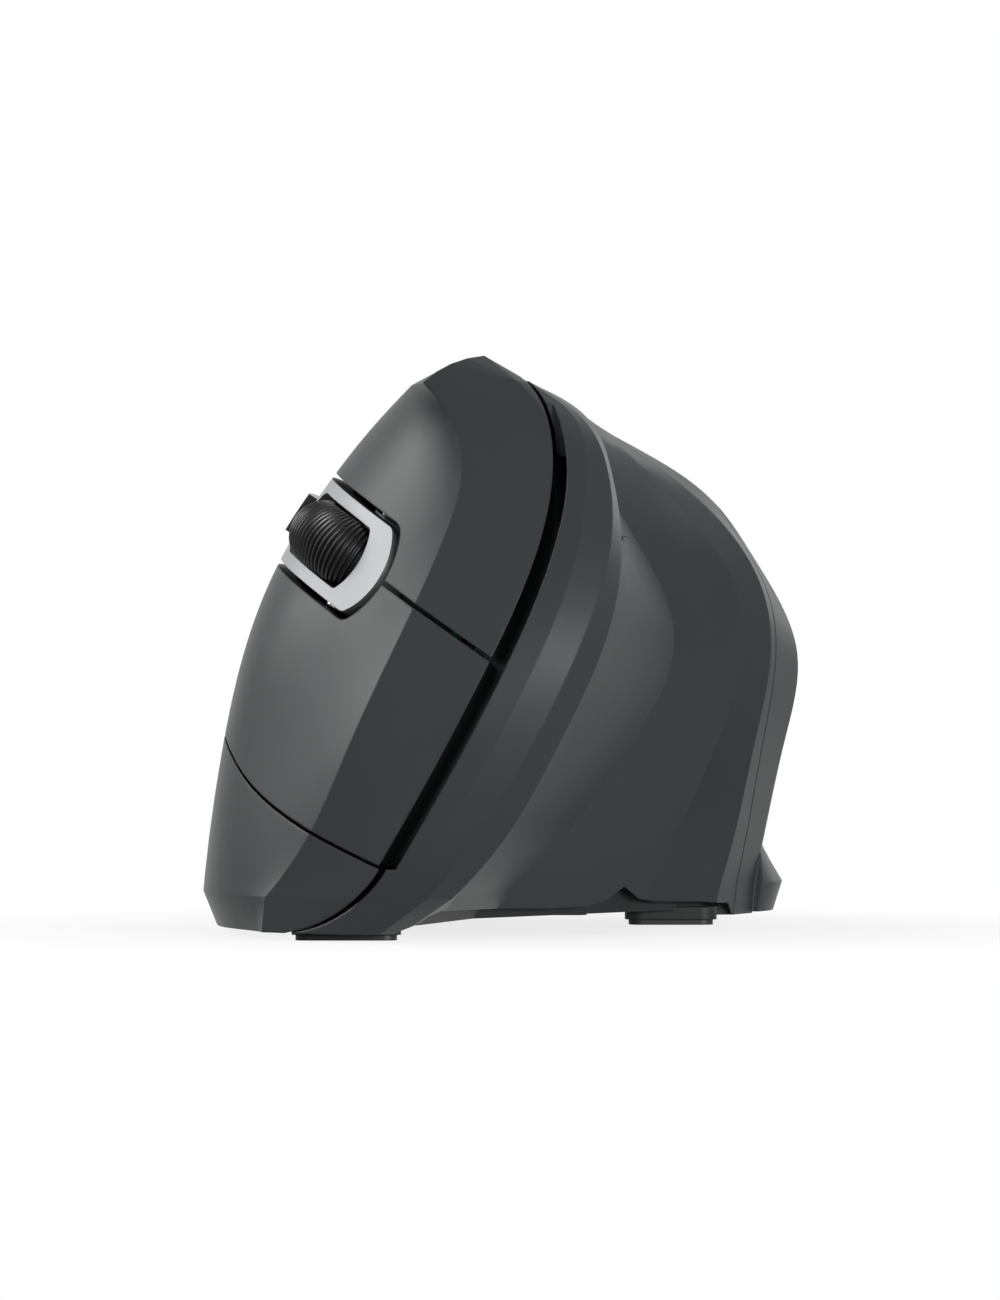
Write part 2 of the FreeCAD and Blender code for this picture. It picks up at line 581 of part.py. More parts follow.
def build_casing():
    outer = hull(0.0, ridge=True)
    cavity = hull(size("wall"))
    inside = hull(size("root_depth"))
    casing = outer.cut(cavity)
    buttons, back, rim = zones()

    gap = size("fit_gap")
    half = size("surround_width") / 2
    front = size("surround_front")
    bulge = size("surround_bulge")
    corner = size("surround_corner")
    deck = size("deck_level")
    around = 2 * size("seam_gap")
    well = slot_prism(half + around, front - around, REACH, bulge, corner + around)

    # Main buttons: split along the wheel's plane, each with a post over its switch
    # and a sleeve that turns on the pivot pin.
    plates = casing.common(buttons).cut(well)
    gap_half = size("button_gap") / 2
    post_q = size("main_switch_q") - size("plunger_offset")
    tip = deck + size("switch_height") + size("plunger_rise") + size("press_gap")
    for label, side in (("left_button", 1), ("right_button", -1)):
        low, high = (gap_half, 80.0) if side > 0 else (-80.0, -gap_half)
        part = plates.common(on_deck(cuboid(low, high, -80.0, 80.0, -80.0, 80.0)))
        post_p = side * size("main_switch_p")
        post = on_deck(cuboid(post_p - 1.6, post_p + 1.6, post_q - 1.6, post_q + 1.6, tip, 40.0))
        web_p = side * 7.3
        sleeve_at = V(web_p - 2.4, size("pivot_q"), size("pivot_r"))
        sleeve = Part.makeCylinder(size("sleeve_radius"), 4.8, sleeve_at, V(1, 0, 0))
        bore = Part.makeCylinder(size("pivot_pin_radius") + size("running_gap"), 12.0,
                                 sleeve_at - V(1, 0, 0), V(1, 0, 0))
        web_low, web_high = sorted((side * 7.7, side * 9.7))
        web = cuboid(web_low, web_high, size("pivot_q") - 1.2, size("pivot_q") + 1.2,
                     size("pivot_r") + size("sleeve_radius") - 0.4, 40.0)
        arm = on_deck(sleeve.fuse(web).cut(bore)).common(inside)
        part = part.fuse([post.common(inside), arm])
        node(solid(label, part), label)

    # Wheel surround: the bright strip between the buttons, on two legs to the board.
    plate = casing.common(slot_prism(half, front, REACH, bulge, corner))
    plate = plate.common(cuboid(-REACH, REACH, -REACH, size("button_rear_y"), 0.0, REACH))
    slot = size("tyre_width") / 2 + size("wheel_side_gap")
    plate = plate.cut(slot_prism(slot, size("wheel_slot_front"), size("wheel_slot_rear"),
                                 size("slot_front_bulge"), size("slot_corner"), size("slot_rear_bulge")))
    dpi_half = size("dpi_width") / 2 + gap
    plate = plate.cut(on_deck(cuboid(-dpi_half, dpi_half, size("dpi_front") - gap,
                                     size("dpi_rear") + gap, -8.0, 40.0)))
    front_leg = on_deck(cuboid(-3.0, 3.0, front + 1.4, front + 3.4, deck, 40.0)).common(inside)
    leg_q = size("rear_leg_q")
    rear_leg = on_deck(cuboid(-3.0, 3.0, leg_q, leg_q + 2.0, deck, 40.0)).common(inside)
    node(solid("wheel_surround", plate.fuse([front_leg, rear_leg])), "wheel_surround")

    # Resolution button: a proud cap with a stem down to its push switch.
    swollen = hull(-size("dpi_proud")).cut(cavity)
    cap = swollen.common(on_deck(cuboid(-size("dpi_width") / 2, size("dpi_width") / 2,
                                        size("dpi_front"), size("dpi_rear"), -8.0, 40.0)))
    middle_q = (size("dpi_front") + size("dpi_rear")) / 2 + 2.0
    stem_half = size("stem_size") / 2
    stem_low = deck + size("tact_height") + size("tact_plunger_rise")
    stem = on_deck(cuboid(-stem_half, stem_half, middle_q - stem_half, middle_q + stem_half,
                          stem_low, 40.0)).common(inside)
    node(solid("dpi_button", cap.fuse(stem)), "dpi_button")

    # Thumb-side moulding: the front rim, the scoop and the top up to the palm seam.
    thumb = casing.common(rim)
    low_z, high_z = size("side_button_low"), size("side_button_high")
    proud = hull(-size("side_proud")).cut(cavity)
    side_gap = size("side_gap")
    stem_end = size("side_board_x") + size("side_board_thickness") + size("tact_height")
    stem_end += size("tact_plunger_rise")
    for label in ("forward", "back"):
        y0, y1 = size(label + "_front_y"), size(label + "_rear_y")
        window = cuboid(6.0, 40.0, y0 - side_gap, y1 + side_gap, low_z - side_gap, high_z + side_gap)
        thumb = thumb.cut(window)
        key = proud.common(cuboid(6.0, 40.0, y0, y1, low_z, high_z))
        key = max(key.Solids, key=lambda piece: piece.CenterOfMass.x)
        mid_y, mid_z = (y0 + y1) / 2, (low_z + high_z) / 2
        push = cuboid(stem_end, 40.0, mid_y - stem_half, mid_y + stem_half,
                      mid_z - stem_half, mid_z + stem_half).common(inside)
        node(solid(label + "_button", key.fuse(push)), label + "_button")
    board_rear = size("side_board_x") + size("side_board_thickness")
    for y in (size("forward_front_y") + 7.6, size("back_rear_y") - 1.6):
        post = cuboid(board_rear, 40.0, y - 1.2, y + 1.2, low_z - 4.6, low_z - 2.2)
        thumb = thumb.fuse(post.common(inside))
    # Dark channel behind the groove: its floor joins the rim and passes under the buttons.
    floor = hull(size("wall") + size("channel_gap")).cut(
        hull(size("wall") + size("channel_gap") + size("channel_floor")))
    side = hull(size("root_depth")).cut(hull(size("wall") + size("channel_gap") + size("channel_floor")))
    left = shifted(smooth_run(GROOVE_BUTTON_SIDE), -2.6, 0)
    right = smooth_run(GROOVE_RIM_SIDE)
    band = curtain(left + shifted(right, 2.0, 0)[::-1], -REACH, size("channel_rear_y"))
    lip = curtain(shifted(right, 0.2, 0) + shifted(right, 2.0, 0)[::-1], -REACH, size("channel_rear_y"))
    thumb = thumb.fuse([floor.common(band), side.common(lip)])
    # The scoop's lower edge stands clear of the table, with a small peaked notch.
    notch = Part.Face(Part.makePolygon(
        [V(x, -REACH, z) for x, z in LOWER_EDGE]))
    thumb = thumb.cut(notch.extrude(V(0, 2 * REACH, 0)))
    for x, y, side_x, side_y in SCREWS["thumb"]:
        thumb = thumb.fuse(boss(x, y, side_x, side_y).common(inside))
    for x, y, side_x, side_y in SCREWS["thumb"]:
        thumb = thumb.cut(pilot(x, y))
    node(solid("thumb_shell", thumb), "thumb_shell")

    # Palm moulding: the dome, the heel and the lower finger side.
    palm = casing.common(back)
    palm = palm.fuse(heel_flange().cut(inside).common(back)).cut(cavity)
    for x, y, side_x, side_y in SCREWS["palm"]:
        palm = palm.fuse(boss(x, y, side_x, side_y).common(inside))
    for x, y, side_x, side_y in SCREWS["palm"]:
        palm = palm.cut(pilot(x, y))
    node(solid("palm_shell", palm), "palm_shell")


def build_base():
    """Base plate with its feet, battery cradle, receiver pocket and sensor window."""
    bottom = size("base_bottom")
    top = bottom + size("base_thickness")
    gap = size("fit_gap")
    lip_top = top + size("lip_height")
    plate = hull(size("wall") + gap, drop=size("wall")).common(cuboid(-REACH, REACH, -REACH, REACH, bottom, lip_top))
    tray = hull(size("wall") + gap + size("lip_thickness"), drop=size("wall"))
    hollows = [tray.common(cuboid(-REACH, REACH, -REACH, REACH, top, lip_top + 1.0))]
    for x, y, side_x, side_y in SCREWS["thumb"] + SCREWS["palm"]:
        hollows.append(Part.makeCylinder(size("boss_radius") + 0.3, 20.0, V(x, y, top)))
    plate = plate.cut(hollows)
    glide = size("glide_thickness")
    for x0, x1, y0, y1 in FEET:
        foot = cuboid(x0 - 0.5, x1 + 0.5, y0 - 0.5, y1 + 0.5, glide, bottom + 0.5)
        upright = [edge for edge in foot.Edges if edge.BoundBox.ZLength > 0.1]
        plate = plate.fuse(foot.makeFillet(size("foot_corner"), upright))
    # battery cradle: two end walls and two low side rails
    bx, bz = size("battery_x"), size("battery_z")
    radius = size("battery_radius")
    y0 = size("battery_front_y") - 4.0
    y1 = size("battery_front_y") + size("battery_length") + size("battery_cap_length") + 1.2
    for low, high in ((y0 - 1.6, y0), (y1, y1 + 1.6)):
        plate = plate.fuse(cuboid(bx - 6.0, bx + 3.2, low, high, top - 0.5, bz + 2.0))
    for side in (-1, 1):
        edge = bx + side * (radius + 0.75)
        rail = cuboid(min(edge, edge + side * 1.4), max(edge, edge + side * 1.4),
                      size("battery_front_y") + 12.0, y1 + 1.6, top - 0.5, bz)
        plate = plate.fuse(rail)
    # battery door opening and the sockets of its hinge pins
    left, right = size("door_left_x") - gap, size("door_right_x") + gap
    hinge_y = size("door_hinge_y")
    roll = size("door_thickness") / 2
    plate = plate.cut(cuboid(left, right, hinge_y - roll - gap, size("door_rear_y") + gap,
                             bottom - 1.0, top + 0.01))
    socket = Part.makeCylinder(size("door_pin_radius") + size("running_gap"), right - left + 3.2,
                               V(left - 1.6, hinge_y, bottom + roll), V(1, 0, 0))
    plate = plate.cut(socket)
    # receiver pocket, open downwards
    rx, ry = size("receiver_x"), size("receiver_y")
    w, l, h = size("receiver_width") / 2 + gap, size("receiver_length") / 2 + gap, size("receiver_height")
    tub = cuboid(rx - w - 1.2, rx + w + 1.2, ry - l - 1.2, ry + l + 1.2, top - 0.5, bottom + h + 1.6)
    plate = plate.fuse(tub).cut(cuboid(rx - w, rx + w, ry - l, ry + l, bottom - 1.0, bottom + h + 0.3))
    # sensor window, power slot and board posts
    sx, sy = size("sensor_x"), size("sensor_y")
    plate = plate.cut(cuboid(sx - 4.0, sx + 4.0, sy - 5.0, sy + 5.0, bottom - 1.0, top + 1.0))
    px, py = size("power_x"), size("power_y")
    plate = plate.cut(cuboid(px - 3.6, px + 3.6, py - 1.5, py + 1.5, bottom - 1.0, top + 1.0))
    for x, y in BOARD_POSTS:
        plate = plate.fuse(Part.makeCylinder(1.8, size("main_board_z") - top + 0.5, V(x, y, top - 0.5)))
    for x, y, side_x, side_y in SCREWS["thumb"] + SCREWS["palm"]:
        head = Part.makeCylinder(size("screw_head_radius") + gap, size("screw_head_height"),
                                 V(x, y, bottom))
        shank = Part.makeCylinder(size("screw_radius") + gap, top - bottom + 1.0, V(x, y, bottom))
        plate = plate.cut(head.fuse(shank))
    node(solid("base_plate", plate), "base_plate")


# Feet as (left, right, front, rear) on the table; the first shows under the nose.
FEET = [
    (-25.8, -13.0, -43.0, -38.2),
    (17.2, 28.4, 12.0, 19.0),
    (-8.0, 12.0, 48.8, 53.4),
    (-31.2, -26.0, 3.0, 14.0),
]
BOARD_POSTS = [(-25.0, -29.0), (-9.0, -29.0), (-25.0, 3.6), (-9.4, 3.6)]


def build_glides():
    for label, (x0, x1, y0, y1) in zip(("front_glide", "thumb_glide", "heel_glide", "finger_glide"), FEET):
        pad = cuboid(x0, x1, y0, y1, 0.0, size("glide_thickness"))
        upright = [edge for edge in pad.Edges if edge.BoundBox.ZLength > 0.1]
        node(solid(label, pad.makeFillet(size("foot_corner") - 0.5, upright)), label)


def build_screws():
    bottom = size("base_bottom")
    pieces = []
    for x, y, side_x, side_y in SCREWS["thumb"] + SCREWS["palm"]:
        head = Part.makeCylinder(size("screw_head_radius"), size("screw_head_height"), V(x, y, bottom))
        shank = Part.makeCylinder(size("screw_radius"), size("screw_length"), V(x, y, bottom))
        cross = cuboid(x - 1.2, x + 1.2, y - 0.25, y + 0.25, bottom - 0.1, bottom + 0.7)
        other = cuboid(x - 0.25, x + 0.25, y - 1.2, y + 1.2, bottom - 0.1, bottom + 0.7)
        pieces.append(head.fuse(shank).cut(cross.fuse(other)))
    node(solid("base_screws", Part.makeCompound(pieces)), "base_screws")


# The tyre's barrel shape is drawn with this many short flats across its width.
TYRE_FLATS = 8


def square_wire(half, reach):
    """Square section of a spring's wire, at its coil radius."""
    corners = [V(reach - half, 0, -half), V(reach + half, 0, -half), V(reach + half, 0, half),
               V(reach - half, 0, half), V(reach - half, 0, -half)]
    return Part.makePolygon(corners)


def crown_profile(sketch, inner, outer):
    """Half section of the barrel-shaped tyre between two radii."""
    half = size("tyre_width") / 2
    edge = outer - size("tyre_crown")
    swell = Part.Arc(V(half, edge, 0), V(0, outer, 0), V(-half, edge, 0))
    flats = swell.discretize(Number=TYRE_FLATS + 1)
    points = [V(-half, inner, 0), V(half, inner, 0)] + flats
    for here, point in enumerate(points):
        sketch.addGeometry(Part.LineSegment(points[here - 1], point), False)


def build_wheel():
    """Scroll wheel: ribbed rubber tyre on a spoked hub, turning on a steel axle."""
    body = doc.addObject("PartDesign::Body", "tyre_body")
    outline = body.newObject("Sketcher::SketchObject", "tyre_outline")
    plane = [item for item in body.Origin.OriginFeatures if item.Role == "XY_Plane"][0]
    outline.AttachmentSupport = [(plane, "")]
    outline.MapMode = "FlatFace"
    inner, outer = size("hub_radius"), size("tyre_radius")
    crown_profile(outline, inner, outer - size("rib_depth"))
    turn = body.newObject("PartDesign::Revolution", "tyre_turn")
    turn.Profile = outline
    turn.ReferenceAxis = (outline, ["H_Axis"])
    turn.Angle = 360.0
    doc.recompute()
    rib = body.newObject("Sketcher::SketchObject", "rib_outline")
    rib.AttachmentSupport = [(plane, "")]
    rib.MapMode = "FlatFace"
    crown_profile(rib, inner + size("rib_depth") / 2, outer)
    fin = body.newObject("PartDesign::Pad", "rib_fin")
    fin.Profile = rib
    fin.SideType = "Symmetric"
    bind(fin, "Length", "tyre_rib")
    doc.recompute()
    pattern = body.newObject("PartDesign::PolarPattern", "rib_ring")
    pattern.Originals = [fin]
    pattern.Axis = (outline, ["H_Axis"])
    pattern.Angle = 360.0
    bind(pattern, "Occurrences", "rib_count")
    body.Tip = pattern
    doc.recompute()
    node(body, "scroll_tyre", slanted=True)

    hub_half = "hub_width / 2"
    rim = rod("hub_outer", "X", ("-" + hub_half, "0", "0"), "hub_radius", "hub_width")
    well_left = rod("hub_well_left", "X", ("-" + hub_half + " - 1", "0", "0"),
                    "hub_radius - hub_rim", hub_half + " + 1 - hub_web / 2")
    well_right = rod("hub_well_right", "X", ("hub_web / 2", "0", "0"),
                     "hub_radius - hub_rim", hub_half + " + 1 - hub_web / 2")
    dish = trimmed("hub_dish", rim, [well_left, well_right])
    centre = rod("hub_centre", "X", ("-cradle_side + 0.25", "0", "0"), "hub_boss_radius",
                 "2 * cradle_side - 0.5")
    wheel = joined("hub_joined", [dish, centre])
    holes = []
    for turn_at in range(6):
        angle = math.radians(60 * turn_at)
        hole = doc.addObject("Part::Cylinder", "hub_hole")
        bind(hole, "Radius", "(hub_radius - hub_rim - hub_boss_radius) / 3")
        bind(hole, "Height", "hub_web + 2")
        reach = (size("hub_radius") - size("hub_rim") + size("hub_boss_radius")) / 2
        hole.Placement = FreeCAD.Placement(
            V(-size("hub_web") / 2 - 1, reach * math.cos(angle), reach * math.sin(angle)), AXES["X"])
        holes.append(hole)
    axle_hole = rod("hub_bore", "X", ("-cradle_side - 1", "0", "0"), "axle_radius", "2 * cradle_side + 2")
    node(trimmed("hub", wheel, holes + [axle_hole]), "scroll_hub", slanted=True)
    axle = rod("axle", "X", ("-cradle_side - cradle_plate - 0.6", "0", "0"), "axle_radius",
               "2 * cradle_side + 2 * cradle_plate + 2.6")
    node(axle, "scroll_axle", slanted=True)


def plate_outline(points, low, high):
    """Deck-frame plate across the wheel's axis with a polygon outline in the wheel's plane."""
    face = Part.Face(Part.makePolygon([V(low, q, r) for q, r in points + points[:1]]))
    return face.extrude(V(high - low, 0, 0))


def build_cradle():
    """Rocking cradle: carries the axle, turns on its pin and presses the middle switch."""
    side, thick = size("cradle_side"), size("cradle_plate")
    pq, pr = size("cradle_pivot_q"), size("cradle_pivot_r")
    tip = size("deck_level") + size("switch_height") + size("plunger_rise") + size("press_gap")
    sq = size("middle_switch_q") - size("plunger_offset")
    shape = None
    for low, high in ((-side - thick, -side), (side, side + thick)):
        cheek = plate_outline(
            [(-3.0, 0.8), (-1.0, 1.8), (2.4, 2.4), (pq + 1.0, pr + 2.6), (pq + 2.2, pr - 1.8), (pq - 2.0, pr - 2.2),
             (sq + 1.8, tip), (sq - 1.8, tip), (-3.0, -4.4)], low, high)
        shape = cheek if shape is None else shape.fuse(cheek)
    bar = cuboid(-side - thick, side + thick, pq - 2.0, pq + 2.0, pr - 2.0, pr + 2.0)
    pad_p = size("middle_switch_p")
    pad = cuboid(-pad_p - 1.4, -side, sq - 1.8, sq + 1.8, tip, tip + 1.6)
    shape = shape.fuse([bar, pad])
    gap = size("running_gap")
    bore = Part.makeCylinder(size("axle_radius") + gap, 40.0, V(-20.0, 0, 0), V(1, 0, 0))
    pivot = Part.makeCylinder(size("cradle_pin_radius") + gap, 40.0, V(-20.0, pq, pr), V(1, 0, 0))
    node(solid("cradle", shape.cut([bore, pivot])), "wheel_cradle", slanted=True)

    encoder = cuboid(side + thick, side + thick + 3.8, -2.8, 6.2, -5.6, 1.4)
    encoder = encoder.makeFillet(1.2, [e for e in encoder.Edges if e.BoundBox.XLength > 1.0])
    encoder = encoder.cut(bore)
    node(solid("encoder", encoder), "scroll_encoder", slanted=True)

    ear = size("ear_thickness")
    length = 2 * (side + thick + 0.3 + ear)
    pin = rod("cradle_pin_rod", "X", ("-cradle_side - cradle_plate - 0.3 - ear_thickness",
                                      "cradle_pivot_q", "cradle_pivot_r"),
              "cradle_pin_radius", "2 * (cradle_side + cradle_plate + 0.3 + ear_thickness)")
    node(pin, "cradle_pin", slanted=True)

    # return spring under the cheek on the encoder side
    deck = size("deck_level")
    wire, coil = 0.2, 1.1
    height = -4.4 - deck - 2 * wire
    helix = Part.makeHelix(height / 5.0, height, coil)
    spring = Part.Wire(helix).makePipeShell([square_wire(wire, coil)], True, True)
    spring.translate(V(-side - thick / 2, -1.4, deck + wire))
    node(solid("spring", spring), "cradle_spring", slanted=True)


def micro_switch(label, p, q):
    """Snap-action switch on the board: case with its plunger slot, and the plunger."""
    deck = "deck_level"
    start = ("%s - switch_width / 2" % p, "%s - switch_length / 2" % q, deck)
    case = block(label + "_case", start, ("switch_width", "switch_length", "switch_height"))
    slot = block(label + "_slot",
                 ("%s - plunger_width / 2 - press_gap" % p,
                  "%s - plunger_offset - plunger_length / 2 - press_gap" % q,
                  "deck_level + plunger_root - 0.8"),
                 ("plunger_width + 2 * press_gap", "plunger_length + 2 * press_gap", "switch_height"))
    base_line = block(label + "_line",
                      ("%s - switch_width / 2 - 0.1" % p, "%s - switch_length / 2 - 0.1" % q,
                       "deck_level + 1.8"),
                      ("switch_width + 0.2", "0.35", "0.3"))
    node(trimmed(label + "_body", case, [slot, base_line]), label, slanted=True)
    plunger = block(label + "_key",
                    ("%s - plunger_width / 2" % p, "%s - plunger_offset - plunger_length / 2" % q,
                     "deck_level + plunger_root"),
                    ("plunger_width", "plunger_length", "switch_height + plunger_rise - plunger_root"))
    node(plunger, label + "_plunger", slanted=True)


def build_deck():
    """Slanted board with its switches, and the ribbed bracket that carries it."""
    micro_switch("left_switch", "main_switch_p", "main_switch_q")
    micro_switch("right_switch", "-main_switch_p", "main_switch_q")
    micro_switch("middle_switch", "-middle_switch_p", "middle_switch_q")

    deck, board = size("deck_level"), size("board_thickness")
    ear_in = size("cradle_side") + size("cradle_plate") + 0.3
    ear_out = ear_in + size("ear_thickness")
    pq, pr = size("cradle_pivot_q"), size("cradle_pivot_r")
    outline = [(-17.6, -15.0), (16.6, -15.0), (16.6, -0.6), (8.6, -0.6), (8.6, 29.5), (-15.0, 29.5), (-17.6, 10.0)]
    face = Part.Face(Part.makePolygon([V(p, q, deck - board) for p, q in outline + outline[:1]]))
    sheet_board = face.extrude(V(0, 0, board))
    for side in (-1, 1):
        low, high = sorted((side * ear_in, side * ear_out))
        sheet_board = sheet_board.cut(cuboid(low - 0.2, high + 0.2, pq - 2.4, pq + 2.4, deck - 5.0, deck + 5.0))
    node(solid("button_board", sheet_board), "button_board", slanted=True)

    under = deck - board
    low = under - size("deck_thickness")
    outline = [(-18.0, -14.0), (12.0, -14.0), (12.0, -1.0), (8.0, -1.0), (8.0, 22.0), (12.4, 27.0),
               (12.4, 35.0), (-12.4, 35.0), (-14.0, 20.0), (-18.0, 10.0)]
    face = Part.Face(Part.makePolygon([V(p, q, low) for p, q in outline + outline[:1]]))
    frame = face.extrude(V(0, 0, size("deck_thickness")))
    frame = frame.cut(cuboid(-6.0, 6.0, -8.0, 10.0, low - 1.0, under + 1.0))
    for side in (-1, 1):
        a, b = sorted((side * ear_in, side * ear_out))
        frame = frame.fuse(cuboid(a, b, pq - 2.0, pq + 2.0, low, pr + 2.0))
    pivot_q, pivot_r = size("pivot_q"), size("pivot_r")
    for a, b in ((-11.9, -10.1), (-4.4, 4.4), (10.1, 11.9)):
        frame = frame.fuse(cuboid(a, b, pivot_q - 2.2, pivot_q + 2.2, low, pivot_r + 2.2))
    hole = Part.makeCylinder(size("pivot_pin_radius"), 60.0, V(-30.0, pivot_q, pivot_r), V(1, 0, 0))
    small = Part.makeCylinder(size("cradle_pin_radius"), 60.0, V(-30.0, pq, pr), V(1, 0, 0))
    frame = on_deck(frame.cut([hole, small]))
    # upright ribs down to the base plate
    top = size("base_bottom") + size("base_thickness")
    under_line = on_deck(cuboid(-80.0, 80.0, -80.0, 80.0, -160.0, low + 0.4))
    for y, left, right in ((size("front_rib_y"), -27.0, -9.0), (size("rear_rib_y"), -28.0, -9.0)):
        outline = [(left, top), (right, top), (right, 22.0), (right + 9.0, 34.0), (3.0, 48.0), (3.0, 70.0),
                   (-14.0, 30.0), (left, 12.0), (left, top)]
        profile = Part.Face(Part.makePolygon([V(x, y, z) for x, z in outline]))
        frame = frame.fuse(profile.extrude(V(0, size("rib_thickness"), 0)).common(under_line))
    node(solid("board_bracket", frame), "board_bracket")

    pin = rod("pivot_rod", "X", ("-pivot_pin_half", "pivot_q", "pivot_r"), "pivot_pin_radius", "2 * pivot_pin_half")
    node(pin, "button_pivot_pin", slanted=True)

    tact_switch("dpi_switch", slanted=True)


def tact_case(centre, axis):
    """Small square push switch standing on a board."""
    half = size("tact_size") / 2
    tall = size("tact_height")
    case = cuboid(-half, half, -half, half, 0.0, tall)
    case = case.makeChamfer(0.5, [e for e in case.Edges if e.BoundBox.ZLength > 1.0])
    bore = Part.makeCylinder(size("tact_plunger_radius") + 0.1, tall, V(0, 0, tall - 1.6))
    key = Part.makeCylinder(size("tact_plunger_radius"), size("tact_plunger_rise") + 0.8, V(0, 0, tall - 0.8))
    shapes = [case.cut(bore), key]
    turn = FreeCAD.Rotation(V(0, 0, 1), axis)
    place = FreeCAD.Placement(centre, turn)
    return [shape.transformed(place.toMatrix()) for shape in shapes]


def tact_switch(label, slanted):
    middle_q = (size("dpi_front") + size("dpi_rear")) / 2 + 2.0
    case, key = tact_case(V(0, middle_q, size("deck_level")), V(0, 0, 1))
    node(solid(label + "_case", case), label, slanted=slanted)
    node(solid(label + "_key", key), label + "_plunger", slanted=slanted)


def build_side_board():
    """Small upright board behind the thumb buttons, with a push switch for each."""
    x = size("side_board_x")
    thick = size("side_board_thickness")
    low = size("side_button_low") - 5.2
    high = size("side_button_high") + 0.6
    y0, y1 = size("forward_front_y") + 5.0, size("back_rear_y")
    node(solid("side_board_sheet", cuboid(x, x + thick, y0 - 3.0, y1, low, high)), "side_board")
    mid_z = (size("side_button_low") + size("side_button_high")) / 2
    for label in ("forward", "back"):
        mid_y = (size(label + "_front_y") + size(label + "_rear_y")) / 2
        case, key = tact_case(V(x + thick, mid_y, mid_z), V(1, 0, 0))
        node(solid(label + "_switch_case", case), label + "_switch")
        node(solid(label + "_switch_key", key), label + "_switch_plunger")


def build_electrics():
    z = size("main_board_z")
    board = cuboid(-27.4, -6.6, -32.0, 6.0, z, z + size("board_thickness"))
    board = board.makeFillet(2.0, [e for e in board.Edges if e.BoundBox.ZLength > 1.0])
    sx, sy = size("sensor_x"), size("sensor_y")
    board = board.cut(Part.makeCylinder(2.6, 6.0, V(sx, sy, z - 1.0)))
    node(solid("main_board_sheet", board), "main_board")
    top = z + size("board_thickness")
    chip = cuboid(sx - 5.0, sx + 5.0, sy - 6.0, sy + 6.0, top, top + 2.6)
    chip = chip.makeChamfer(0.4, [e for e in chip.Edges if abs(e.BoundBox.ZMin - top - 2.6) < 0.01])
    node(solid("sensor_chip", chip), "optical_sensor")
    low = size("base_bottom") + size("base_thickness")
    lens = cuboid(sx - 6.0, sx + 6.0, sy - 7.5, sy + 7.5, low, low + 1.2)
    drop = Part.makeCylinder(2.4, z - low - 0.1, V(sx, sy, low), V(0, 0, 1))
    node(solid("lens_body", lens.fuse(drop)), "sensor_lens")
    chip = cuboid(-13.0, -8.0, -24.0, -19.0, top, top + 1.0)
    can = cuboid(-26.4, -23.2, -22.0, -12.0, top, top + 3.2)
    plug = cuboid(-26.0, -16.0, -5.0, -0.4, top, top + 4.5)
    node(solid("main_chip_body", chip), "radio_chip")
    node(solid("crystal_body", can.makeFillet(1.2, [e for e in can.Edges if e.BoundBox.ZLength > 1.0])), "crystal_can")
    node(solid("connector_body", plug.cut(cuboid(-25.2, -16.8, -4.2, -1.2, top + 1.0, top + 6.0))), "board_connector")

    # power slider in its slot, with the switch on the board's underside
    px, py = size("power_x"), size("power_y")
    bottom = size("base_bottom")
    case = cuboid(px - 5.0, px + 5.0, py - 2.2, py + 2.2, low + 0.2, z)
    case = case.cut(cuboid(px - 3.8, px + 3.8, py - 0.9, py + 0.9, low - 1.0, low + 1.6))
    node(solid("power_case", case), "power_switch")
    knob = cuboid(px - 3.2, px + 0.2, py - 1.3, py + 1.3, bottom - 0.4, low - 0.4)
    foot = cuboid(px - 3.2, px + 0.2, py - 0.75, py + 0.75, low - 0.4, low + 1.4)
    node(solid("power_knob", knob.fuse(foot)), "power_slider")


def build_battery():
    bx, bz = size("battery_x"), size("battery_z")
    radius, length = size("battery_radius"), size("battery_length")
    front = size("battery_front_y")
    can = rod("battery_can", "Y", ("battery_x", "battery_front_y", "battery_z"), "battery_radius", "battery_length")
    cap = rod("battery_cap", "Y", ("battery_x", "battery_front_y + battery_length", "battery_z"),
              "battery_cap_radius", "battery_cap_length")
    node(joined("battery_whole", [can, cap]), "battery")
    rear = front + length + size("battery_cap_length")
    low = size("base_bottom") + size("base_thickness") + 0.1
    plate = cuboid(bx - 3.2, bx + 3.2, rear, rear + 0.6, low, bz + 4.0)
    node(solid("contact_plate", plate), "positive_contact")
    back = cuboid(bx - 3.2, bx + 3.2, front - 4.0, front - 3.5, bz - 4.0, bz + 4.0)
    back = back.fuse(cuboid(bx - 2.4, bx + 0.8, front - 4.0, front - 3.5, low, bz - 4.0))
    wire = 0.35
    coil = 2.6
    height = 3.5 - 2 * wire
    helix = Part.Wire(Part.makeHelix(height / 3.0, height, coil))
    spring = helix.makePipeShell([square_wire(wire, coil)], True, True)
    spring.rotate(V(), V(1, 0, 0), -90)
    spring.translate(V(bx, front - 3.5 + wire, bz))
    node(solid("spring_contact", Part.makeCompound([back, spring])), "negative_contact")

    # door in the base, hinged at its front edge
    bottom = size("base_bottom")
    thick = size("door_thickness")
    left, right = size("door_left_x"), size("door_right_x")
    hinge_y, hinge_z = size("door_hinge_y"), bottom + thick / 2
    door = cuboid(left, right, hinge_y, size("door_rear_y"), bottom, bottom + thick)
    roll = Part.makeCylinder(thick / 2, right - left, V(left, hinge_y, hinge_z), V(1, 0, 0))
    pins = Part.makeCylinder(size("door_pin_radius"), right - left + 2.6, V(left - 1.3, hinge_y, hinge_z), V(1, 0, 0))
    grip = Part.makeCylinder(5.0, 0.8, V((left + right) / 2, size("door_rear_y") - 7.0, bottom - 0.2))
    door = door.fuse([roll, pins]).cut(grip)
    node(solid("door_leaf", door), "battery_door")


